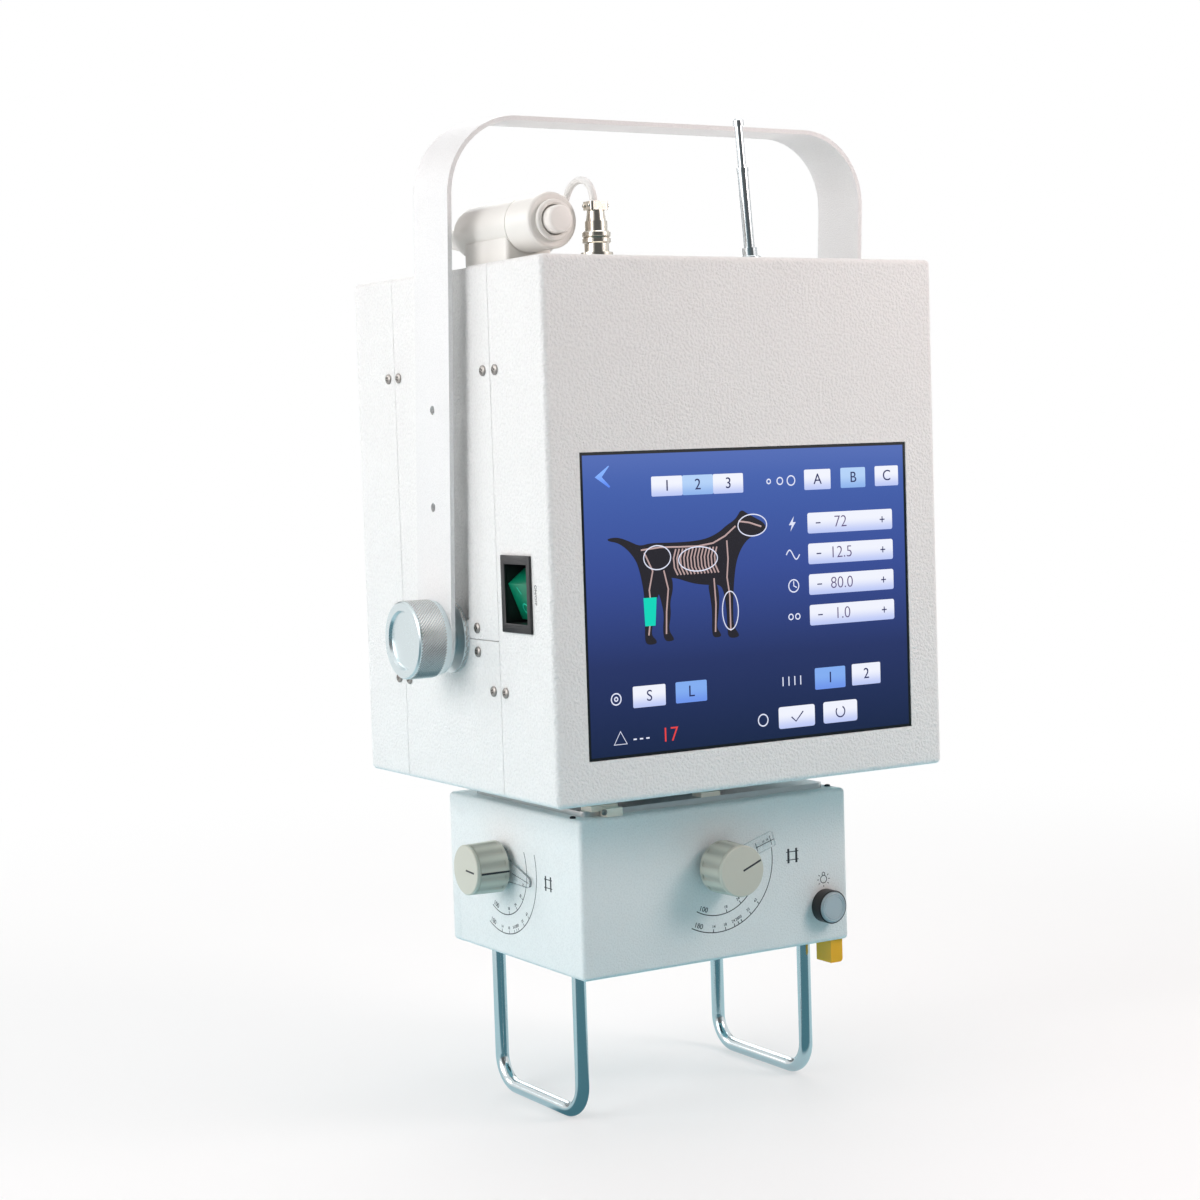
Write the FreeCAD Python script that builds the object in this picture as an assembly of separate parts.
"""Portable x-ray machine: generator housing with a touch screen, carrying bail and collimator.

Millimetres. The origin is on the floor under the middle of the housing, X to the machine's
right as it is seen from the front, Y to the back, Z up. The screen looks along -Y.
"""
import FreeCAD, Part
import os
from math import cos, pi, sin, tan

V = FreeCAD.Vector
X_AXIS = V(1, 0, 0)
Y_AXIS = V(0, 1, 0)
Z_AXIS = V(0, 0, 1)

# Housing: the box that holds the generator
BODY_W = 256.0
BODY_D = 222.0
BODY_H = 288.0
BODY_WALL = 2.5
BODY_EDGE_R = 3.0
FRONT_COVER_D = 57.6
REAR_COVER_D = 50.6
SEAM = 0.4
LIP_REACH = 6.0
LIP_THICK = 1.5
LIP_FIT = 0.2

# Channel down each side that the bail's legs stand in front of
CHANNEL_W = 60.0
CHANNEL_DEPTH = 8.0
CHANNEL_END_UP = 10.0

# Generator tank, one plain block
TANK_FROM_SIDE = 44.0
TANK_FROM_FRONT = 53.0
TANK_FROM_BACK = 29.0
TANK_H = 170.0

# Screen
SCREEN_W = 215.0
SCREEN_H = 162.0
SCREEN_FROM_LEFT = 19.6
SCREEN_FROM_BOTTOM = 23.3
SCREEN_SET_BACK = 0.5
SCREEN_FRAME = 8.0
SCREEN_MODULE_T = 12.0
SCREEN_FIT = 0.3

# Power rocker on the left side
ROCKER_W = 33.4
ROCKER_H = 41.6
ROCKER_FROM_FRONT = 19.6
ROCKER_UP = 90.6
ROCKER_FLANGE = 2.6
ROCKER_PROUD = 1.6
ROCKER_BODY_DEPTH = 22.0
ROCKER_BODY_WALL = 1.6
ROCKER_LIP = 4.0
ROCKER_FIT = 0.3
ROCKER_DIP = 3.5
ROCKER_FALL = 6.0
ROCKER_RIDGE = 0.58
ROCKER_EDGE_R = 0.8

# Carrying bail
PIVOT_UP = 85.0
BAIL_SIDE_GAP = 9.0
BAIL_T = 2.5
BAIL_W = 40.0
BAIL_OVER_TOP = 82.6
BAIL_CORNER_R = 43.0
BAIL_TILT = 3.3
BAIL_HOLE_R = 2.5
BAIL_HOLE_1_UP = 72.5
BAIL_HOLE_SPACING = 53.5

# Pivot: disc on the housing, stud of the clamp knob through it
DISC_R = 20.0
DISC_T = 3.0
HUB_R = 11.0
SHANK_R = 8.0
SHANK_FIT = 0.15
STUD_R = 5.0
STUD_FIT = 0.06
AXIAL_FIT = 0.1
KNOB_R = 21.5
KNOB_L = 20.0
KNOB_RING_L = 2.5
KNOB_RING_STEP = 0.6
KNOB_DISH_R = 16.5
KNOB_DISH_DEPTH = 1.6
KNOB_CHAMFER = 0.8

# Hand switch lying on the left of the top, its button to the front
SWITCH_FROM_LEFT = 20.0
SWITCH_FROM_FRONT = 20.0
SWITCH_UP = 19.0
SWITCH_R = 14.9
SWITCH_HEAD_L = 25.0
SWITCH_BARREL_L = 79.0
SWITCH_SEAM_W = 0.7
SWITCH_SEAM_DEPTH = 0.5
SWITCH_EDGE = 1.5
TAIL_R = 4.6
TAIL_DROP = 1.0
TAIL_L = 112.0
RELIEF_L = 18.0
RELIEF_R = 3.6
RELIEF_END_R = 2.5
TAIL_SECTIONS = (
    # part of the way along the taper, part of the way in radius, part of the drop
    (0.10, 0.05, 0.00),
    (0.20, 0.15, 0.05),
    (0.30, 0.31, 0.10),
    (0.40, 0.46, 0.20),
    (0.68, 0.74, 0.50),
)
BUTTON_WELL_R = 10.0
BUTTON_WELL_DEPTH = 5.0
BUTTON_R = 7.3
BUTTON_PROUD = 7.0
BUTTON_SKIRT = 4.2
BUTTON_EDGE_R = 1.2
BUTTON_FIT = 0.2
CRADLE_FROM_FRONT = 45.8
CRADLE_L = 47.6
CRADLE_W = 28.0
CRADLE_FIT = 0.2
CRADLE_CORNER_R = 2.5

# Hand switch socket and plug
SOCKET_FROM_LEFT = 44.0
SOCKET_FROM_FRONT = 16.0
SOCKET_FLANGE_R = 8.6
SOCKET_FLANGE_T = 2.0
SOCKET_BARREL_R = 6.6
SOCKET_BARREL_TOP = 6.6
SOCKET_PIN_R = 5.0
SOCKET_PIN_TOP = 9.0
SOCKET_SHANK_R = 5.5
SOCKET_SHANK_L = 12.0
PLUG_FIT = 0.2
PLUG_NUT_R = 7.6
PLUG_NUT_FROM = 6.8
PLUG_NUT_L = 6.3
PLUG_NUT_GROOVE = 0.6
PLUG_BODY_R = 6.0
PLUG_FLATS_R = 5.4
PLUG_FLATS_FROM = 5.3
PLUG_BODY_TOP_R = 4.6
PLUG_BODY_L = 11.1
PLUG_CLAMP_W = 11.0
PLUG_CLAMP_D = 9.0
PLUG_CLAMP_H = 4.5
PLUG_CLAMP_R = 1.5
PLUG_HOLE_BACK = 1.2
PLUG_HOLE_FIT = 0.3

# Hand switch cable: 1.2 m long, shown only between the plug and the switch's head
CABLE_D = 4.0
CABLE_LENGTH = 1200.0
COIL_MID_D = 44.0
COIL_ROWS = 3
COIL_LAYERS = 2
COIL_FROM_LEFT = 76.0
COIL_FROM_FRONT = 160.0
CABLE_ARC = (
    # run in cable diameters, slope in degrees from level
    (1.35, 90.0),
    (2.0, 67.5),
    (2.0, 34.5),
    (2.4, 1.5),
    (2.1, -31.5),
    (2.2, -57.0),
    (2.6, -74.0),
    (3.0, -47.0),
    (3.2, -22.0),
)
CABLE_TO_COIL = (
    # part of the way to the coil's front, across and back
    (0.03, 0.20),
    (0.08, 0.45),
    (0.22, 0.76),
    (0.55, 0.98),
    (1.0, 1.0),
)
CABLE_FROM_COIL = (
    # part of the way from the coil's back to the hand switch: across, forward, up
    (0.0, 0.0, 0.0),
    (0.25, -0.03, 0.0),
    (0.54, 0.0, 0.06),
    (0.78, 0.14, 0.35),
    (0.94, 0.40, 0.75),
    (1.0, 0.70, 1.0),
    (1.0, 1.0, 1.0),
)

# Telescopic antenna
ANTENNA_FROM_LEFT = 152.4
ANTENNA_FROM_FRONT = 30.0
ANTENNA_LEAN = 4.35
ANTENNA_BASE_R = 6.0
ANTENNA_BASE_H = 3.0
ANTENNA_BASE_EDGE_R = 1.0
ANTENNA_NECK_R = 4.2
ANTENNA_NECK_L = 4.5
ANTENNA_LOWER_R = 3.0
ANTENNA_BORE_R = 2.3
ANTENNA_LOWER_L = 44.0
ANTENNA_FLOOR_T = 1.5
ANTENNA_RIM_L = 2.5
ANTENNA_RIM_STEP = 0.3
ANTENNA_UPPER_R = 2.25
ANTENNA_UPPER_OUT = 23.0
ANTENNA_UPPER_IN = 16.0
ANTENNA_TIP_R = 3.0
ANTENNA_TIP_L = 4.0

# Joint between the housing and the collimator
COLLIMATOR_GAP = 15.0
PLATE_W = 164.0
PLATE_D = 126.0
PLATE_T = 3.0
PLATE_R = 4.0
NECK_R = 46.0
CLAMP_W = 10.0
CLAMP_FOOT_D = 7.4
CLAMP_FOOT_H = 3.0
CLAMP_BRIDGE_W = 17.0
CLAMP_BRIDGE_D = 9.0
CLAMP_BRIDGE_T = 3.0
CLAMP_FIT = 0.3
PAD_W = 13.0
PAD_D = 9.0
PAD_H = 2.6
CLAMP_FROM_LEFT = 10.7
PAD_FROM_LEFT = 78.0

# Collimator
COLL_W = 181.0
COLL_D = 145.0
COLL_H = 89.0
COLL_FROM_FRONT = 43.0
COLL_WALL = 2.5
COLL_EDGE_R = 2.5
BASE_T = 3.0
BASE_FIT = 0.3
WINDOW_SIDE = 78.0
WINDOW_T = 3.0
WINDOW_RIM = 5.0
SHUTTER_SIDE = 116.0
SHUTTER_H = 60.0
SHUTTER_HOLE = 62.0

# Collimator knobs and their clear pointers
CKNOB_R = 14.9
CKNOB_FACE_R = 14.4
CKNOB_L = 20.5
CKNOB_SKIRT_L = 2.0
CKNOB_RING_L = 2.2
CKNOB_RING_GROOVE = 0.4
CKNOB_EDGE = 0.6
CKNOB_FLUTES = 12
CKNOB_FLUTE_R = 4.0
CKNOB_FLUTE_DEPTH = 0.6
CKNOB_HUB_R = 8.0
CKNOB_SHAFT_R = 3.0
CKNOB_SHAFT_L = 14.0
CKNOB_SHAFT_FIT = 0.1
POINTER_T = 1.6
POINTER_GAP = 1.8
POINTER_UNDER_KNOB = 1.6
POINTER_HUB_R = 12.0
POINTER_REACH = 39.5
POINTER_W = 9.0
POINTER_EDGE_R = 1.5
FRONT_KNOB_FROM_LEFT = 89.4
FRONT_KNOB_DOWN = 34.8
FRONT_POINTER_TURN = 17.5
SIDE_KNOB_FROM_FRONT = 86.0
SIDE_KNOB_DOWN = 35.5
SIDE_POINTER_TURN = -9.5

# Light button on the collimator's front
LIGHT_FROM_RIGHT = 16.7
LIGHT_DOWN = 67.2
LIGHT_BEZEL_R = 9.7
LIGHT_BEZEL_T = 7.8
LIGHT_BEZEL_EDGE = 0.4
LIGHT_CAP_R = 8.9
LIGHT_CAP_STEP = 0.7
LIGHT_CAP_PROUD = 0.8
LIGHT_CAP_DEPTH = 5.0
LIGHT_FIT = 0.2
LIGHT_SHANK_R = 8.0
LIGHT_SHANK_L = 20.0

# Bent rods under the collimator that it stands on
ROD_D = 8.0
LOOP_DROP = 86.0
LOOP_BEND_R = 17.0
LOOP_FROM_SIDE = 13.0
LOOP_FROM_FRONT = 28.0
LOOP_SPAN = 92.5
COLLAR_R = 6.5
COLLAR_H = 1.6
ROD_FIT = 0.15

# Tape-measure tab under the collimator
TAB_W = 8.4
TAB_D = 14.2
TAB_DROP = 13.6
TAB_UP = 6.0
TAB_FROM_RIGHT = 0.3
TAB_FROM_FRONT = 3.0
TAB_CORNER_R = 2.0
TAB_FIT = 0.3

# Rear of the housing
INLET_W = 50.0
INLET_H = 27.5
INLET_FLANGE_T = 2.5
INLET_BODY_W = 28.0
INLET_BODY_H = 22.0
INLET_BODY_DEPTH = 24.0
INLET_SET_BACK = 0.3
INLET_LID_W = 24.0
INLET_LID_H = 18.0
INLET_LID_GROOVE = 0.8
INLET_FIT = 0.3
INLET_FROM_SIDE = 46.0
INLET_UP = 30.0
VENT_COUNT = 9
VENT_L = 70.0
VENT_W = 3.0
VENT_PITCH = 8.0
VENT_DOWN = 34.0

# Heights and planes worked out from the sizes above
COLL_BOTTOM = LOOP_DROP
COLL_TOP = COLL_BOTTOM + COLL_H
BODY_BOTTOM = COLL_TOP + COLLIMATOR_GAP
BODY_TOP = BODY_BOTTOM + BODY_H
BODY_LEFT = -BODY_W / 2
BODY_RIGHT = BODY_W / 2
BODY_FRONT = -BODY_D / 2
BODY_BACK = BODY_D / 2
FRONT_SEAM = BODY_FRONT + FRONT_COVER_D
REAR_SEAM = BODY_BACK - REAR_COVER_D
PIVOT_Z = BODY_BOTTOM + PIVOT_UP
COLL_LEFT = -COLL_W / 2
COLL_RIGHT = COLL_W / 2
COLL_FRONT = BODY_FRONT + COLL_FROM_FRONT
COLL_BACK = COLL_FRONT + COLL_D
BAIL_HALF = BODY_W / 2 + BAIL_SIDE_GAP
BAIL_REACH = BODY_H - PIVOT_UP + BAIL_OVER_TOP
SWITCH_X = BODY_LEFT + SWITCH_FROM_LEFT
SWITCH_Y = BODY_FRONT + SWITCH_FROM_FRONT
SWITCH_Z = BODY_TOP + SWITCH_UP
TAIL_Z = SWITCH_Z - TAIL_DROP
PLUG_X = BODY_LEFT + SOCKET_FROM_LEFT
PLUG_Y = BODY_FRONT + SOCKET_FROM_FRONT
CABLE_START_Y = PLUG_Y + PLUG_HOLE_BACK
CABLE_START_Z = BODY_TOP + PLUG_NUT_FROM + PLUG_NUT_L + PLUG_BODY_L
PLUG_TOP = CABLE_START_Z + PLUG_CLAMP_H
CABLE_LIE = BODY_TOP + CABLE_D / 2
COIL_X = BODY_LEFT + COIL_FROM_LEFT
COIL_Y = BODY_FRONT + COIL_FROM_FRONT


def box(x0, x1, y0, y1, z0, z1):
    """Block between two corners."""
    return Part.makeBox(x1 - x0, y1 - y0, z1 - z0, V(x0, y0, z0))


def rod(base, axis, radius, length):
    """Cylinder from a base point along an axis."""
    return Part.makeCylinder(radius, length, base, axis)


def rounded_box(x0, x1, y0, y1, z0, z1, radius):
    """Block with all twelve edges rounded."""
    block = box(x0, x1, y0, y1, z0, z1)
    return block.makeFillet(radius, block.Edges)


def upright_rounded_box(x0, x1, y0, y1, z0, z1, radius):
    """Block with its four upright edges rounded."""
    block = box(x0, x1, y0, y1, z0, z1)
    edges = [e for e in block.Edges if abs(e.tangentAt(e.FirstParameter).z) > 0.9]
    return block.makeFillet(radius, edges)


def turned(profile, centre, axis):
    """Solid of revolution from (distance along the axis, radius) points."""
    points = [V(r, 0, d) for d, r in profile]
    wire = Part.makePolygon(points + points[:1])
    solid = Part.Face(wire).revolve(V(0, 0, 0), Z_AXIS, 360)
    solid.Placement = FreeCAD.Placement(centre, FreeCAD.Rotation(Z_AXIS, axis))
    return solid


def save(name, shape):
    """Write one node, and report its volume."""
    shape = shape.removeSplitter()
    if not shape.isValid():
        raise ValueError(name + " isn't a valid shape")
    if len(shape.Solids) != 1:
        raise ValueError(name + " has %d solids" % len(shape.Solids))
    shape.Solids[0].exportStep("parts/" + name + ".step")
    print("%-24s %9.1f cm3" % (name, shape.Volume / 1000))


# Housing

def channel_cutters(grow):
    """Blocks that take the two side channels out of the housing, grown on each side."""
    half = CHANNEL_W / 2 + grow
    z0 = PIVOT_Z + CHANNEL_END_UP - grow
    z1 = BODY_TOP + 1
    depth = CHANNEL_DEPTH + grow
    left = box(BODY_LEFT - 1, BODY_LEFT + depth, -half, half, z0, z1)
    right = box(BODY_RIGHT - depth, BODY_RIGHT + 1, -half, half, z0, z1)
    return left.fuse(right)


def housing_shell():
    """The whole painted case before it is parted into covers."""
    w = BODY_WALL
    outside = rounded_box(BODY_LEFT, BODY_RIGHT, BODY_FRONT, BODY_BACK,
                          BODY_BOTTOM, BODY_TOP, BODY_EDGE_R)
    inside = box(BODY_LEFT + w, BODY_RIGHT - w, BODY_FRONT + w, BODY_BACK - w,
                 BODY_BOTTOM + w, BODY_TOP - w)
    outside = outside.cut(channel_cutters(0))
    inside = inside.cut(channel_cutters(w))
    return outside.cut(inside)


def seam_lip(y):
    """Ring inside the case that bridges a seam, fixed to the middle section."""
    w = BODY_WALL + LIP_FIT
    ring = box(BODY_LEFT + w, BODY_RIGHT - w, y - LIP_REACH, y + LIP_REACH,
               BODY_BOTTOM + w, BODY_TOP - w)
    w += LIP_THICK
    return ring.cut(box(BODY_LEFT + w, BODY_RIGHT - w, y - LIP_REACH - 1, y + LIP_REACH + 1,
                        BODY_BOTTOM + w, BODY_TOP - w))


def lip_root(y0, y1):
    """Wall's inner layer inside the middle section that carries the lips."""
    w = BODY_WALL
    ring = box(BODY_LEFT + w - 0.5, BODY_RIGHT - w + 0.5, y0, y1,
               BODY_BOTTOM + w - 0.5, BODY_TOP - w + 0.5)
    w += LIP_FIT + LIP_THICK
    return ring.cut(box(BODY_LEFT + w, BODY_RIGHT - w, y0 - 1, y1 + 1,
                        BODY_BOTTOM + w, BODY_TOP - w))


def slab(y0, y1, z0, z1):
    """Block as wide as the housing and a little more."""
    return box(BODY_LEFT - 5, BODY_RIGHT + 5, y0, y1, z0, z1)


def pivot_holes():
    """Holes in both side walls for the discs' shanks."""
    reach = CHANNEL_DEPTH + 3 * BODY_WALL
    left = rod(V(BODY_LEFT - 1, 0, PIVOT_Z), X_AXIS, SHANK_R + SHANK_FIT, reach)
    right = rod(V(BODY_RIGHT + 1, 0, PIVOT_Z), -X_AXIS, SHANK_R + SHANK_FIT, reach)
    return left.fuse(right)


def middle_section(shell):
    """Middle of the case with its lips, before it is parted at the pivot's height."""
    y0 = FRONT_SEAM + SEAM / 2
    y1 = REAR_SEAM - SEAM / 2
    part = shell.common(slab(y0, y1, BODY_BOTTOM - 5, BODY_TOP + 5))
    part = part.fuse(seam_lip(FRONT_SEAM)).fuse(lip_root(y0, FRONT_SEAM + LIP_REACH))
    part = part.fuse(seam_lip(REAR_SEAM)).fuse(lip_root(REAR_SEAM - LIP_REACH, y1))
    return part.cut(pivot_holes())


def front_cover(shell):
    """Front cover with the screen's window, the rocker's hole, and the top and side fittings."""
    part = shell.common(slab(BODY_FRONT - 5, FRONT_SEAM - SEAM / 2, BODY_BOTTOM - 5, BODY_TOP + 5))
    x0 = BODY_LEFT + SCREEN_FROM_LEFT
    z0 = BODY_BOTTOM + SCREEN_FROM_BOTTOM
    window = box(x0, x0 + SCREEN_W, BODY_FRONT - 5, BODY_FRONT + 10, z0, z0 + SCREEN_H)
    y0 = BODY_FRONT + ROCKER_FROM_FRONT + ROCKER_FLANGE
    z0 = BODY_BOTTOM + ROCKER_UP + ROCKER_FLANGE
    rocker = box(BODY_LEFT - 5, BODY_LEFT + 10, y0, y0 + ROCKER_W - 2 * ROCKER_FLANGE,
                 z0, z0 + ROCKER_H - 2 * ROCKER_FLANGE)
    socket = rod(V(PLUG_X, PLUG_Y, BODY_TOP - 2 * BODY_WALL), Z_AXIS, SOCKET_SHANK_R + SHANK_FIT,
                 4 * BODY_WALL)
    return part.cut(window).cut(rocker).cut(socket)


def rear_cover(shell):
    """Rear cover with vents and the mains inlet's hole."""
    part = shell.common(slab(REAR_SEAM + SEAM / 2, BODY_BACK + 5, BODY_BOTTOM - 5, BODY_TOP + 5))
    y0 = BODY_BACK - 10
    y1 = BODY_BACK + 5
    for row in range(VENT_COUNT):
        z = BODY_TOP - VENT_DOWN - row * VENT_PITCH
        for side in (-1, 1):
            x = side * (VENT_L / 2 + VENT_PITCH)
            slot = box(x - VENT_L / 2, x + VENT_L / 2, y0, y1, z, z + VENT_W)
            part = part.cut(slot)
    x, z = inlet_centre()
    half_w = INLET_BODY_W / 2 + INLET_FIT
    half_h = INLET_BODY_H / 2 + INLET_FIT
    return part.cut(box(x - half_w, x + half_w, y0, y1, z - half_h, z + half_h))


def generator_tank():
    """Generator and tube tank as one plain block on the floor of the case."""
    z0 = BODY_BOTTOM + BODY_WALL + LIP_FIT + LIP_THICK
    return box(BODY_LEFT + TANK_FROM_SIDE, BODY_RIGHT - TANK_FROM_SIDE,
               BODY_FRONT + TANK_FROM_FRONT, BODY_BACK - TANK_FROM_BACK, z0, z0 + TANK_H)


# Screen and rocker

def screen_panel():
    """Glass that fills the window, on a module that bears on the cover from inside."""
    x0 = BODY_LEFT + SCREEN_FROM_LEFT
    z0 = BODY_BOTTOM + SCREEN_FROM_BOTTOM
    f = SCREEN_FIT
    y0 = BODY_FRONT + SCREEN_SET_BACK
    y1 = BODY_FRONT + BODY_WALL
    glass = box(x0 + f, x0 + SCREEN_W - f, y0, y1 + 1, z0 + f, z0 + SCREEN_H - f)
    edge = SCREEN_FRAME
    module = box(x0 - edge, x0 + SCREEN_W + edge, y1, y1 + SCREEN_MODULE_T,
                 z0 - edge, z0 + SCREEN_H + edge)
    return glass.fuse(module)


def rocker_frame():
    """Switch frame: flange on the wall and a deep box behind it."""
    y0 = BODY_FRONT + ROCKER_FROM_FRONT
    z0 = BODY_BOTTOM + ROCKER_UP
    x0 = BODY_LEFT - ROCKER_PROUD
    flange = box(x0, BODY_LEFT, y0, y0 + ROCKER_W, z0, z0 + ROCKER_H)
    edges = [e for e in flange.Edges if abs(e.CenterOfMass.x - x0) < 0.1]
    flange = flange.makeFillet(ROCKER_EDGE_R, edges)
    m = ROCKER_FLANGE + ROCKER_FIT
    body = box(BODY_LEFT - 0.5, BODY_LEFT + ROCKER_BODY_DEPTH, y0 + m, y0 + ROCKER_W - m,
               z0 + m, z0 + ROCKER_H - m)
    m = ROCKER_LIP + ROCKER_BODY_WALL
    well = box(x0 - 1, BODY_LEFT + ROCKER_BODY_DEPTH - ROCKER_BODY_WALL,
               y0 + m, y0 + ROCKER_W - m, z0 + m, z0 + ROCKER_H - m)
    return flange.fuse(body).cut(well)


def rocker_button():
    """Two-faced rocker, pressed in at the bottom, deep in its frame."""
    y0 = BODY_FRONT + ROCKER_FROM_FRONT
    z0 = BODY_BOTTOM + ROCKER_UP
    m = ROCKER_LIP + ROCKER_BODY_WALL + ROCKER_FIT
    y_low = y0 + m
    y_high = y0 + ROCKER_W - m
    z_low = z0 + m
    z_high = z0 + ROCKER_H - m
    ridge = z0 + ROCKER_H * ROCKER_RIDGE
    back = BODY_LEFT + ROCKER_BODY_DEPTH - ROCKER_BODY_WALL
    outline = [V(back, y_low, z_low), V(BODY_LEFT + ROCKER_DIP + ROCKER_FALL, y_low, z_low),
               V(BODY_LEFT + ROCKER_DIP, y_low, ridge),
               V(BODY_LEFT + ROCKER_DIP + ROCKER_FALL / 2, y_low, z_high), V(back, y_low, z_high)]
    face = Part.Face(Part.makePolygon(outline + outline[:1]))
    return face.extrude(V(0, y_high - y_low, 0))


# Bail, discs and clamp knobs

def bail_outline(half, top, radius):
    """Face of an arch in the XZ plane through the pivot, open at the bottom."""
    low = -BAIL_W
    face = box(-half, half, -BAIL_W / 2, BAIL_W / 2, low, top)
    edges = [e for e in face.Edges
             if abs(e.tangentAt(e.FirstParameter).y) > 0.9 and e.CenterOfMass.z > 0]
    return face.makeFillet(radius, edges)


def bail():
    """Flat bar bent into an arch, with round ends about the pivot."""
    outer = bail_outline(BAIL_HALF + BAIL_T, BAIL_REACH, BAIL_CORNER_R)
    inner = bail_outline(BAIL_HALF, BAIL_REACH - BAIL_T, BAIL_CORNER_R - BAIL_T)
    arch = outer.cut(inner)
    width = 2 * (BAIL_HALF + BAIL_T) + 2
    ends = rod(V(-width / 2, 0, 0), X_AXIS, BAIL_W / 2, width)
    legs = box(-width / 2, width / 2, -BAIL_W / 2, BAIL_W / 2, 0, BAIL_REACH + 1)
    arch = arch.common(ends.fuse(legs))
    arch = arch.cut(rod(V(-width / 2, 0, 0), X_AXIS, STUD_R + STUD_FIT, width))
    for up in (BAIL_HOLE_1_UP, BAIL_HOLE_1_UP + BAIL_HOLE_SPACING):
        arch = arch.cut(rod(V(-width / 2, 0, up), X_AXIS, BAIL_HOLE_R, width))
    arch.rotate(V(0, 0, 0), X_AXIS, BAIL_TILT)
    arch.translate(V(0, 0, PIVOT_Z))
    return arch


def pivot_disc(side):
    """Thin disc on the case, with a hub to the bail and a shank through the wall."""
    hub_end = BAIL_SIDE_GAP - AXIAL_FIT
    bore = STUD_R + STUD_FIT
    shank = CHANNEL_DEPTH + BODY_WALL + 2
    profile = [(-shank, bore), (-shank, SHANK_R), (0, SHANK_R), (0, DISC_R),
               (DISC_T, DISC_R), (DISC_T, HUB_R), (hub_end, HUB_R), (hub_end, bore)]
    return turned(profile, V(side * BODY_W / 2, 0, PIVOT_Z), V(side, 0, 0))


def clamp_knob(side):
    """Dished knob outside the bail, with its stud through the bail and the disc."""
    start = BAIL_SIDE_GAP + BAIL_T + AXIAL_FIT
    ring = start + KNOB_RING_L
    end = start + KNOB_L
    stud_end = -(CHANNEL_DEPTH + BODY_WALL)
    c = KNOB_CHAMFER
    profile = [(stud_end, 0), (stud_end, STUD_R), (start, STUD_R), (start, KNOB_R - KNOB_RING_STEP),
               (ring, KNOB_R - KNOB_RING_STEP), (ring, KNOB_R), (end - c, KNOB_R),
               (end, KNOB_R - c), (end, KNOB_DISH_R), (end - KNOB_DISH_DEPTH, KNOB_DISH_R - 1),
               (end - KNOB_DISH_DEPTH, 0)]
    return turned(profile, V(side * BODY_W / 2, 0, PIVOT_Z), V(side, 0, 0))


# Top of the housing

def switch_grip():
    """Hand switch: barrel with a seam, a button well, and a tail that narrows and drops."""
    r = SWITCH_R
    e = SWITCH_EDGE
    profile = [(0, 0), (0, r - e), (e / 3, r - e / 3), (e, r), (SWITCH_HEAD_L, r),
               (SWITCH_HEAD_L, r - SWITCH_SEAM_DEPTH),
               (SWITCH_HEAD_L + SWITCH_SEAM_W, r - SWITCH_SEAM_DEPTH),
               (SWITCH_HEAD_L + SWITCH_SEAM_W, r), (SWITCH_BARREL_L, r), (SWITCH_BARREL_L, 0)]
    start = V(SWITCH_X, SWITCH_Y, SWITCH_Z)
    barrel = turned(profile, start, Y_AXIS)
    well = rod(start - Y_AXIS, Y_AXIS, BUTTON_WELL_R, BUTTON_WELL_DEPTH + 1)
    wires = []
    for along, narrowed, dropped in ((0, 0, 0),) + TAIL_SECTIONS + ((1, 1, 1),):
        y = SWITCH_Y + SWITCH_BARREL_L + along * (TAIL_L - SWITCH_BARREL_L)
        centre = V(SWITCH_X, y, SWITCH_Z - dropped * TAIL_DROP)
        radius = r - narrowed * (r - TAIL_R)
        wires.append(Part.Wire(Part.makeCircle(radius, centre, Y_AXIS)))
    tail = Part.makeLoft(wires, True, False)
    relief = Part.makeCone(RELIEF_R, RELIEF_END_R, RELIEF_L,
                           V(SWITCH_X, SWITCH_Y + TAIL_L, TAIL_Z), Y_AXIS)
    return barrel.cut(well).fuse(tail).fuse(relief)


def switch_button():
    """Round push button in the well of the hand switch."""
    base = V(SWITCH_X, SWITCH_Y + BUTTON_WELL_DEPTH, SWITCH_Z)
    length = BUTTON_WELL_DEPTH + BUTTON_PROUD
    button = rod(base, -Y_AXIS, BUTTON_R, length)
    skirt = rod(base, -Y_AXIS, BUTTON_WELL_R - BUTTON_FIT, BUTTON_SKIRT)
    edge = [e for e in button.Edges if e.CenterOfMass.y < base.y - length + 0.1]
    return button.makeFillet(BUTTON_EDGE_R, edge[:1]).fuse(skirt)


def switch_cradle():
    """Saddle on the housing that the hand switch lies in."""
    y0 = BODY_FRONT + CRADLE_FROM_FRONT
    x0 = SWITCH_X - CRADLE_W / 2
    top = SWITCH_Z - SWITCH_R * 0.45
    block = upright_rounded_box(x0, x0 + CRADLE_W, y0, y0 + CRADLE_L, BODY_TOP, top,
                                CRADLE_CORNER_R)
    return block.cut(rod(V(SWITCH_X, y0 - 1, SWITCH_Z), Y_AXIS, SWITCH_R + CRADLE_FIT, CRADLE_L + 2))


def panel_socket():
    """Round socket screwed into the top of the case."""
    z = BODY_TOP
    profile = [(-SOCKET_SHANK_L, 0), (-SOCKET_SHANK_L, SOCKET_SHANK_R), (0, SOCKET_SHANK_R),
               (0, SOCKET_FLANGE_R), (SOCKET_FLANGE_T, SOCKET_FLANGE_R),
               (SOCKET_FLANGE_T, SOCKET_BARREL_R), (SOCKET_BARREL_TOP, SOCKET_BARREL_R),
               (SOCKET_BARREL_TOP, SOCKET_PIN_R), (SOCKET_PIN_TOP, SOCKET_PIN_R),
               (SOCKET_PIN_TOP, 0)]
    return turned(profile, V(PLUG_X, PLUG_Y, z), Z_AXIS)


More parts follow.
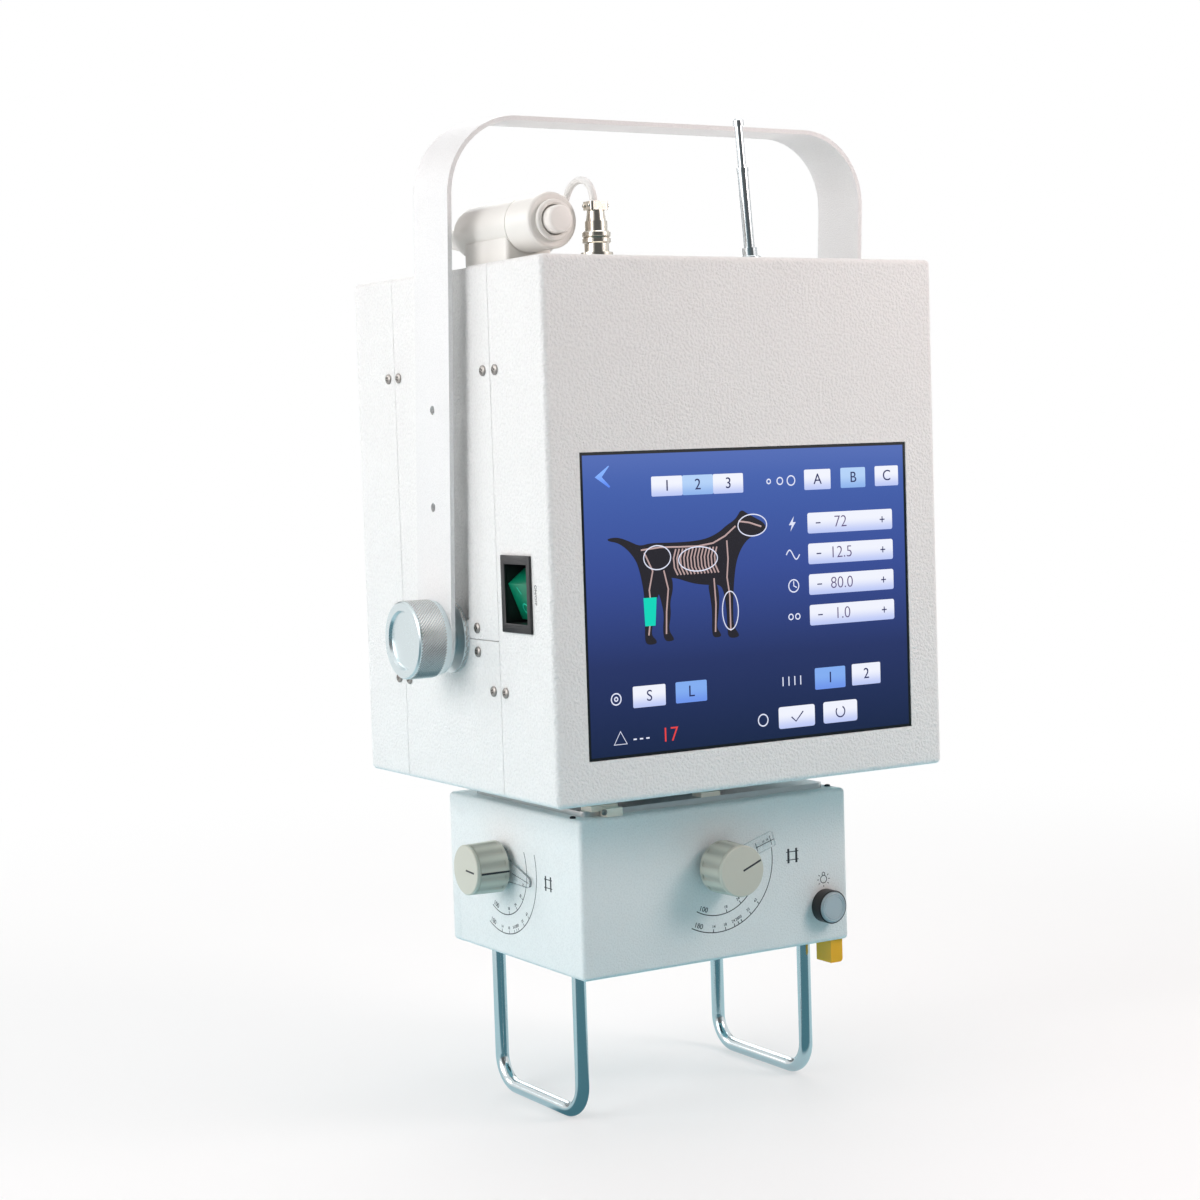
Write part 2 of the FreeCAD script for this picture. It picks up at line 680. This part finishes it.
def cable_plug():
    """Plug with a grooved ring nut, a stepped body and a cable clamp open at the top."""
    nut0 = PLUG_NUT_FROM
    nut1 = nut0 + PLUG_NUT_L
    flats = nut1 + PLUG_FLATS_FROM
    body1 = nut1 + PLUG_BODY_L
    inner = SOCKET_PIN_R + PLUG_FIT
    step = SOCKET_PIN_TOP + PLUG_FIT
    g = PLUG_NUT_GROOVE
    middle = nut0 + PLUG_NUT_L / 2
    profile = [(nut0, inner), (nut0, PLUG_NUT_R - g), (nut0 + g, PLUG_NUT_R),
               (middle - g, PLUG_NUT_R), (middle, PLUG_NUT_R - g), (middle + g, PLUG_NUT_R),
               (nut1 - g, PLUG_NUT_R), (nut1, PLUG_NUT_R - g), (nut1, PLUG_BODY_R),
               (flats, PLUG_BODY_R), (flats, PLUG_FLATS_R),
               (body1, PLUG_BODY_TOP_R), (body1, 0), (step, 0), (step, inner)]
    plug = turned(profile, V(PLUG_X, PLUG_Y, BODY_TOP), Z_AXIS)
    half_w = PLUG_CLAMP_W / 2
    half_d = PLUG_CLAMP_D / 2
    clamp = upright_rounded_box(PLUG_X - half_w, PLUG_X + half_w, PLUG_Y - half_d, PLUG_Y + half_d,
                                BODY_TOP + body1, PLUG_TOP, PLUG_CLAMP_R)
    hole = rod(V(PLUG_X, CABLE_START_Y, BODY_TOP + body1), Z_AXIS,
               CABLE_D / 2 + PLUG_HOLE_FIT, 2 * PLUG_CLAMP_H)
    return plug.fuse(clamp).cut(hole)


def antenna_frame():
    """Placement at the antenna's foot, Z along the leaning rod."""
    foot = V(BODY_LEFT + ANTENNA_FROM_LEFT, BODY_FRONT + ANTENNA_FROM_FRONT, BODY_TOP)
    return FreeCAD.Placement(foot, FreeCAD.Rotation(Y_AXIS, -ANTENNA_LEAN))


def antenna_base():
    """Foot on the case with a short leaning neck."""
    place = antenna_frame()
    foot = rod(place.Base, Z_AXIS, ANTENNA_BASE_R, ANTENNA_BASE_H)
    edge = [e for e in foot.Edges if e.CenterOfMass.z > place.Base.z + ANTENNA_BASE_H - 0.1]
    foot = foot.makeFillet(ANTENNA_BASE_EDGE_R, edge[:1])
    sunk = ANTENNA_BASE_H / 3
    neck = rod(V(0, 0, sunk), Z_AXIS, ANTENNA_NECK_R, ANTENNA_BASE_H + ANTENNA_NECK_L - sunk)
    neck.Placement = place
    return foot.fuse(neck)


def antenna_lower():
    """Outer tube, closed at the foot."""
    z0 = ANTENNA_BASE_H + ANTENNA_NECK_L
    z1 = z0 + ANTENNA_LOWER_L
    rim = z1 - ANTENNA_RIM_L
    rim_r = ANTENNA_LOWER_R + ANTENNA_RIM_STEP
    floor = z0 + ANTENNA_FLOOR_T
    profile = [(z0, 0), (z0, ANTENNA_LOWER_R), (rim, ANTENNA_LOWER_R), (rim, rim_r), (z1, rim_r),
               (z1, ANTENNA_BORE_R), (floor, ANTENNA_BORE_R), (floor, 0)]
    tube = turned(profile, V(0, 0, 0), Z_AXIS)
    tube.Placement = antenna_frame()
    return tube


def antenna_upper():
    """Inner rod with a round tip, part of it inside the outer tube."""
    z1 = ANTENNA_BASE_H + ANTENNA_NECK_L + ANTENNA_LOWER_L
    z0 = z1 - ANTENNA_UPPER_IN
    z2 = z1 + ANTENNA_UPPER_OUT
    profile = [(z0, 0), (z0, ANTENNA_UPPER_R), (z2, ANTENNA_UPPER_R), (z2, ANTENNA_TIP_R),
               (z2 + ANTENNA_TIP_L - 1, ANTENNA_TIP_R), (z2 + ANTENNA_TIP_L, ANTENNA_TIP_R - 1),
               (z2 + ANTENNA_TIP_L, 0)]
    inner = turned(profile, V(0, 0, 0), Z_AXIS)
    inner.Placement = antenna_frame()
    return inner


# Hand switch cable

def cable_from_plug():
    """Corners of the cable's route from the plug in an arc down to the coil's front."""
    route = [V(PLUG_X, CABLE_START_Y, CABLE_START_Z)]
    for run, slope in CABLE_ARC:
        angle = slope * pi / 180
        route.append(route[-1] + V(0, cos(angle), sin(angle)) * (run * CABLE_D))
    land = route[-1]
    across = COIL_X - PLUG_X
    back = COIL_Y - COIL_MID_D / 2 - land.y
    for x_part, y_part in CABLE_TO_COIL:
        route.append(V(PLUG_X + x_part * across, land.y + y_part * back, CABLE_LIE))
    return route


def cable_to_switch():
    """Corners of the cable's route from the coil's back to the hand switch's tail."""
    start = V(COIL_X, COIL_Y + COIL_MID_D / 2, CABLE_LIE)
    end = V(SWITCH_X, SWITCH_Y + TAIL_L + RELIEF_L, TAIL_Z)
    span = end - start
    return [start + V(x_part * span.x, y_part * span.y, z_part * span.z)
            for x_part, y_part, z_part in CABLE_FROM_COIL]


def smooth_path(points):
    """Wire of straight runs joined by tangent arcs, its length and its smallest radius."""
    edges = []
    start = points[0]
    length = 0.0
    smallest = 1e9
    for before, corner, after in zip(points, points[1:], points[2:]):
        run_in = (corner - before)
        run_out = (after - corner)
        turn = run_in.getAngle(run_out)
        cut = 0.45 * min(run_in.Length, run_out.Length)
        radius = cut / tan(turn / 2)
        smallest = min(smallest, radius)
        dir_in = run_in.normalize()
        dir_out = run_out.normalize()
        arc_start = corner - dir_in * cut
        arc_end = corner + dir_out * cut
        to_centre = (dir_out - dir_in).normalize()
        centre = corner + to_centre * (radius / cos(turn / 2))
        middle = centre - to_centre * radius
        edges.append(Part.LineSegment(start, arc_start).toShape())
        edges.append(Part.Arc(arc_start, middle, arc_end).toShape())
        length += (arc_start - start).Length + radius * turn
        start = arc_end
    edges.append(Part.LineSegment(start, points[-1]).toShape())
    length += (points[-1] - start).Length
    return Part.Wire(edges), length, smallest


def cable(name, points):
    """Round cable along a route."""
    wire, length, smallest = smooth_path(points)
    section = Part.Wire(Part.makeCircle(CABLE_D / 2, points[0], points[1] - points[0]))
    tube = wire.makePipeShell([section], True, False)
    expected = pi * (CABLE_D / 2) ** 2 * length
    print("%s: %.1f mm long, smallest radius %.1f mm, volume %.3f of its section times length"
          % (name, length, smallest, tube.Volume / expected))
    return tube, length


def cable_coil():
    """Closed ring as big as the coiled turns."""
    half = COIL_ROWS * CABLE_D / 2
    high = COIL_LAYERS * CABLE_D
    outer = COIL_MID_D / 2 + half
    inner = COIL_MID_D / 2 - half
    return turned([(0, inner), (0, outer), (high, outer), (high, inner)], V(COIL_X, COIL_Y, BODY_TOP),
                  Z_AXIS)


# Collimator and what carries it

def mounting_plate():
    """Polished plate on top of the collimator."""
    y = (COLL_FRONT + COLL_BACK) / 2
    return upright_rounded_box(-PLATE_W / 2, PLATE_W / 2, y - PLATE_D / 2, y + PLATE_D / 2,
                               COLL_TOP, COLL_TOP + PLATE_T, PLATE_R)


def port_neck():
    """Round neck between the plate and the case."""
    y = (COLL_FRONT + COLL_BACK) / 2
    return rod(V(0, y, COLL_TOP + PLATE_T), Z_AXIS, NECK_R, COLLIMATOR_GAP - PLATE_T)


def edge_clamp():
    """Clamp at the plate's front edge: a foot on the collimator and a bridge over the plate."""
    x0 = -PLATE_W / 2 + CLAMP_FROM_LEFT
    y1 = (COLL_FRONT + COLL_BACK) / 2 - PLATE_D / 2 - CLAMP_FIT
    z1 = COLL_TOP + PLATE_T
    foot = box(x0, x0 + CLAMP_W, y1 - CLAMP_FOOT_D, y1, COLL_TOP, z1 + CLAMP_BRIDGE_T / 2)
    bridge = box(x0 + CLAMP_W - CLAMP_BRIDGE_W, x0 + CLAMP_W, y1 - CLAMP_FOOT_D / 3,
                 y1 + CLAMP_BRIDGE_D, z1, z1 + CLAMP_BRIDGE_T)
    return foot.fuse(bridge)


def edge_pad():
    """Low pad on the plate's front edge."""
    x0 = -PLATE_W / 2 + PAD_FROM_LEFT
    y0 = (COLL_FRONT + COLL_BACK) / 2 - PLATE_D / 2
    z0 = COLL_TOP + PLATE_T
    return box(x0, x0 + PAD_W, y0, y0 + PAD_D, z0, z0 + PAD_H)


def turned_back(block):
    """The same block on the plate's other side."""
    block = block.copy()
    block.rotate(V(0, (COLL_FRONT + COLL_BACK) / 2, 0), Z_AXIS, 180)
    return block


def loop_places():
    """X of each rod loop."""
    x = COLL_W / 2 - LOOP_FROM_SIDE
    return {"left": -x, "right": x}


def collimator_case():
    """Painted case open at the bottom, with the holes of the knobs and the light button."""
    w = COLL_WALL
    outside = rounded_box(COLL_LEFT, COLL_RIGHT, COLL_FRONT, COLL_BACK,
                          COLL_BOTTOM, COLL_TOP, COLL_EDGE_R)
    inside = box(COLL_LEFT + w, COLL_RIGHT - w, COLL_FRONT + w, COLL_BACK - w,
                 COLL_BOTTOM - 5, COLL_TOP - w)
    case = outside.cut(inside)
    hole = CKNOB_SHAFT_R + CKNOB_SHAFT_FIT
    reach = 3 * COLL_WALL
    case = case.cut(rod(front_knob_centre() - Y_AXIS, Y_AXIS, hole, reach))
    case = case.cut(rod(side_knob_centre() - X_AXIS, X_AXIS, hole, reach))
    return case.cut(rod(light_centre() - Y_AXIS, Y_AXIS, LIGHT_SHANK_R + LIGHT_FIT, reach))


def collimator_base():
    """Bottom plate with the exit window's rebated opening and the loops' holes."""
    w = COLL_WALL + BASE_FIT
    z0 = COLL_BOTTOM + 1
    z1 = z0 + BASE_T
    plate = box(COLL_LEFT + w, COLL_RIGHT - w, COLL_FRONT + w, COLL_BACK - w, z0, z1)
    y = (COLL_FRONT + COLL_BACK) / 2
    half = WINDOW_SIDE / 2
    plate = plate.cut(box(-half, half, y - half, y + half, z0 - 1, z1 + 1))
    for x in loop_places().values():
        for leg_y in loop_legs():
            plate = plate.cut(rod(V(x, leg_y, z0 - 1), Z_AXIS, ROD_D / 2 + ROD_FIT, BASE_T + 2))
    x0, _, y0, y1 = tab_box(TAB_FIT)
    return plate.cut(box(x0, COLL_RIGHT, y0, y1, z0 - 1, z1 + 1))


def exit_window():
    """Clear window of the light field, with a rim that bears on the bottom plate."""
    y = (COLL_FRONT + COLL_BACK) / 2
    z0 = COLL_BOTTOM + 1
    z1 = z0 + BASE_T
    half = WINDOW_SIDE / 2 - BASE_FIT
    pane = box(-half, half, y - half, y + half, z0 + 1, z1 + WINDOW_T)
    half = WINDOW_SIDE / 2 + WINDOW_RIM
    rim = box(-half, half, y - half, y + half, z1, z1 + WINDOW_T)
    return pane.fuse(rim)


def beam_shutter():
    """Lead shutter box above the window, one block with a square shaft."""
    y = (COLL_FRONT + COLL_BACK) / 2
    half = SHUTTER_SIDE / 2
    z0 = COLL_BOTTOM + 1 + BASE_T + WINDOW_T
    block = box(-half, half, y - half, y + half, z0, z0 + SHUTTER_H)
    half = SHUTTER_HOLE / 2
    return block.cut(box(-half, half, y - half, y + half, z0 - 1, z0 + SHUTTER_H - 6))


def front_knob_centre():
    """Where the front knob's axis meets the case."""
    return V(COLL_LEFT + FRONT_KNOB_FROM_LEFT, COLL_FRONT, COLL_TOP - FRONT_KNOB_DOWN)


def side_knob_centre():
    """Where the side knob's axis meets the case."""
    return V(COLL_LEFT, COLL_FRONT + SIDE_KNOB_FROM_FRONT, COLL_TOP - SIDE_KNOB_DOWN)


def knob_placement(centre, outward):
    """Placement whose Z runs out of the face and whose Y stays up."""
    x_dir = Z_AXIS.cross(outward) * -1
    return FreeCAD.Placement(centre, FreeCAD.Rotation(x_dir * -1, Z_AXIS, outward, "ZXY"))


def shutter_knob(centre, outward):
    """Fluted knob with a front ring, a hub behind it and a shaft into the case."""
    hub = POINTER_GAP + POINTER_T
    start = hub + POINTER_UNDER_KNOB
    skirt = start + CKNOB_SKIRT_L
    end = start + CKNOB_L
    ring = end - CKNOB_RING_L
    groove = CKNOB_RING_GROOVE
    profile = [(-CKNOB_SHAFT_L, 0), (-CKNOB_SHAFT_L, CKNOB_SHAFT_R), (hub, CKNOB_SHAFT_R),
               (hub, CKNOB_HUB_R), (start, CKNOB_HUB_R), (start, CKNOB_R), (skirt, CKNOB_R),
               (ring - groove, CKNOB_FACE_R), (ring - groove, CKNOB_FACE_R - groove),
               (ring, CKNOB_FACE_R - groove), (ring, CKNOB_FACE_R), (end - CKNOB_EDGE, CKNOB_FACE_R),
               (end, CKNOB_FACE_R - CKNOB_EDGE), (end, 0)]
    knob = turned(profile, V(0, 0, 0), Z_AXIS)
    flutes = []
    for i in range(CKNOB_FLUTES):
        angle = 2 * pi * (i + 0.5) / CKNOB_FLUTES
        r = CKNOB_R + CKNOB_FLUTE_R - CKNOB_FLUTE_DEPTH
        flutes.append(rod(V(r * cos(angle), r * sin(angle), skirt), Z_AXIS, CKNOB_FLUTE_R,
                          ring - groove - skirt - CKNOB_EDGE))
    knob = knob.cut(flutes)
    knob.Placement = knob_placement(centre, outward)
    return knob


def pointer(centre, outward, turn):
    """Clear plate behind a knob, with one arm over the scale."""
    hub = rod(V(0, 0, POINTER_GAP), Z_AXIS, POINTER_HUB_R, POINTER_T)
    half = POINTER_W / 2
    arm = box(0, POINTER_REACH, -half, half, POINTER_GAP, POINTER_GAP + POINTER_T)
    edges = [e for e in arm.Edges
             if abs(e.tangentAt(e.FirstParameter).z) > 0.9 and e.CenterOfMass.x > half]
    arm = arm.makeFillet(POINTER_EDGE_R, edges)
    hole = rod(V(0, 0, 0), Z_AXIS, CKNOB_SHAFT_R + CKNOB_SHAFT_FIT, POINTER_GAP + 2 * POINTER_T)
    plate = hub.fuse(arm).cut(hole)
    plate.rotate(V(0, 0, 0), Z_AXIS, turn)
    plate.Placement = knob_placement(centre, outward).multiply(plate.Placement)
    return plate


def light_centre():
    """Middle of the light button on the case's face."""
    return V(COLL_RIGHT - LIGHT_FROM_RIGHT, COLL_FRONT, COLL_TOP - LIGHT_DOWN)


def light_bezel():
    """Round black bezel with a shank through the case and a well for the cap."""
    well = LIGHT_BEZEL_T - LIGHT_CAP_DEPTH
    bore = LIGHT_CAP_R + LIGHT_FIT
    e = LIGHT_BEZEL_EDGE
    profile = [(-LIGHT_SHANK_L, 0), (-LIGHT_SHANK_L, LIGHT_SHANK_R), (0, LIGHT_SHANK_R),
               (0, LIGHT_BEZEL_R), (LIGHT_BEZEL_T - e, LIGHT_BEZEL_R),
               (LIGHT_BEZEL_T, LIGHT_BEZEL_R - e), (LIGHT_BEZEL_T, bore), (well, bore), (well, 0)]
    return turned(profile, light_centre(), -Y_AXIS)


def light_cap():
    """Round lit cap with a stepped edge."""
    well = LIGHT_BEZEL_T - LIGHT_CAP_DEPTH
    top = LIGHT_BEZEL_T + LIGHT_CAP_PROUD
    s = LIGHT_CAP_STEP
    profile = [(well, 0), (well, LIGHT_CAP_R), (LIGHT_BEZEL_T, LIGHT_CAP_R),
               (LIGHT_BEZEL_T, LIGHT_CAP_R - s), (top, LIGHT_CAP_R - 2 * s), (top, 0)]
    return turned(profile, light_centre(), -Y_AXIS)


def loop_legs():
    """Y of the front and the back leg of each loop."""
    front = COLL_FRONT + LOOP_FROM_FRONT
    return (front, front + LOOP_SPAN)


def rod_loop(x):
    """Round rod bent to a U that hangs from the bottom plate."""
    y0, y1 = loop_legs()
    top = COLL_BOTTOM + 1 + BASE_T + 3
    low = ROD_D / 2
    b = LOOP_BEND_R
    s = b * (1 - sin(pi / 4))
    edges = [
        Part.LineSegment(V(x, y0, top), V(x, y0, low + b)).toShape(),
        Part.Arc(V(x, y0, low + b), V(x, y0 + s, low + s), V(x, y0 + b, low)).toShape(),
        Part.LineSegment(V(x, y0 + b, low), V(x, y1 - b, low)).toShape(),
        Part.Arc(V(x, y1 - b, low), V(x, y1 - s, low + s), V(x, y1, low + b)).toShape(),
        Part.LineSegment(V(x, y1, low + b), V(x, y1, top)).toShape(),
    ]
    section = Part.Wire(Part.makeCircle(ROD_D / 2, V(x, y0, top), -Z_AXIS))
    loop = Part.Wire(edges).makePipeShell([section], True, False)
    for y in (y0, y1):
        loop = loop.fuse(rod(V(x, y, COLL_BOTTOM + 1 - COLLAR_H), Z_AXIS, COLLAR_R, COLLAR_H))
    return loop


def tab_box(grow):
    """Plan of the tape tab's stem, grown on each side."""
    x1 = COLL_RIGHT - COLL_WALL - TAB_FROM_RIGHT
    y0 = COLL_FRONT + TAB_FROM_FRONT
    return x1 - TAB_W - grow, x1 + grow, y0 - grow, y0 + TAB_D + grow


def tape_tab():
    """Pull tab of the tape measure, its outer lower corner rounded."""
    x0, x1, y0, y1 = tab_box(0)
    tab = box(x0, x1, y0, y1, COLL_BOTTOM - TAB_DROP, COLL_BOTTOM + TAB_UP)
    corner = [e for e in tab.Edges
              if e.CenterOfMass.x > x1 - 0.1 and e.CenterOfMass.z < COLL_BOTTOM - TAB_DROP + 0.1]
    return tab.makeFillet(TAB_CORNER_R, corner)


# Rear of the housing

def inlet_centre():
    """Middle of the mains inlet on the back."""
    return BODY_RIGHT - INLET_FROM_SIDE, BODY_BOTTOM + INLET_UP


def mains_inlet():
    """Inlet flush in the back, its lid shut and its flange against the wall from inside."""
    x, z = inlet_centre()
    y1 = BODY_BACK - BODY_WALL
    face = BODY_BACK - INLET_SET_BACK
    flange = box(x - INLET_W / 2, x + INLET_W / 2, y1 - INLET_FLANGE_T, y1,
                 z - INLET_H / 2, z + INLET_H / 2)
    body = box(x - INLET_BODY_W / 2, x + INLET_BODY_W / 2, face - INLET_BODY_DEPTH, face,
               z - INLET_BODY_H / 2, z + INLET_BODY_H / 2)
    rim = box(x - INLET_LID_W / 2, x + INLET_LID_W / 2, face - INLET_LID_GROOVE, face + 1,
              z - INLET_LID_H / 2, z + INLET_LID_H / 2)
    g = INLET_LID_GROOVE
    lid = box(x - INLET_LID_W / 2 + g, x + INLET_LID_W / 2 - g, face - g - 1, face,
              z - INLET_LID_H / 2 + g, z + INLET_LID_H / 2 - g)
    return flange.fuse(body).cut(rim).fuse(lid)


os.makedirs("parts", exist_ok=True)
for old in os.listdir("parts"):
    os.remove(os.path.join("parts", old))

shell = housing_shell()
save("front_cover", front_cover(shell))
save("rear_cover", rear_cover(shell))
middle = middle_section(shell)
save("middle_upper", middle.common(slab(BODY_FRONT, BODY_BACK, PIVOT_Z + SEAM / 2, BODY_TOP + 5)))
save("middle_lower", middle.common(slab(BODY_FRONT, BODY_BACK, BODY_BOTTOM - 5, PIVOT_Z - SEAM / 2)))
save("generator_tank", generator_tank())
save("screen_panel", screen_panel())
save("rocker_frame", rocker_frame())
save("rocker_button", rocker_button())
save("carrying_bail", bail())
for name, side in (("left", -1), ("right", 1)):
    save(name + "_pivot_disc", pivot_disc(side))
    save(name + "_clamp_knob", clamp_knob(side))
save("hand_switch_grip", switch_grip())
save("hand_switch_button", switch_button())
save("hand_switch_cradle", switch_cradle())
save("cable_socket", panel_socket())
save("cable_plug", cable_plug())
front_cable, front_length = cable("cable_front", cable_from_plug())
rear_cable, rear_length = cable("cable_rear", cable_to_switch())
save("cable_front", front_cable)
save("cable_rear", rear_cable)
save("cable_coil", cable_coil())
turns = (CABLE_LENGTH - front_length - rear_length) / (pi * COIL_MID_D)
print("turns in the coil: %.2f" % turns)
save("antenna_base", antenna_base())
save("antenna_lower", antenna_lower())
save("antenna_upper", antenna_upper())
save("mounting_plate", mounting_plate())
save("port_neck", port_neck())
save("clamp_front", edge_clamp())
save("clamp_rear", turned_back(edge_clamp()))
save("plate_pad_front", edge_pad())
save("plate_pad_rear", turned_back(edge_pad()))
save("collimator_case", collimator_case())
save("collimator_base", collimator_base())
save("exit_window", exit_window())
save("beam_shutter", beam_shutter())
save("front_shutter_knob", shutter_knob(front_knob_centre(), -Y_AXIS))
save("front_pointer", pointer(front_knob_centre(), -Y_AXIS, FRONT_POINTER_TURN))
save("side_shutter_knob", shutter_knob(side_knob_centre(), -X_AXIS))
save("side_pointer", pointer(side_knob_centre(), -X_AXIS, SIDE_POINTER_TURN))
save("light_button_bezel", light_bezel())
save("light_button_cap", light_cap())
for name, x in loop_places().items():
    save(name + "_rod_loop", rod_loop(x))
save("tape_tab", tape_tab())
save("mains_inlet", mains_inlet())
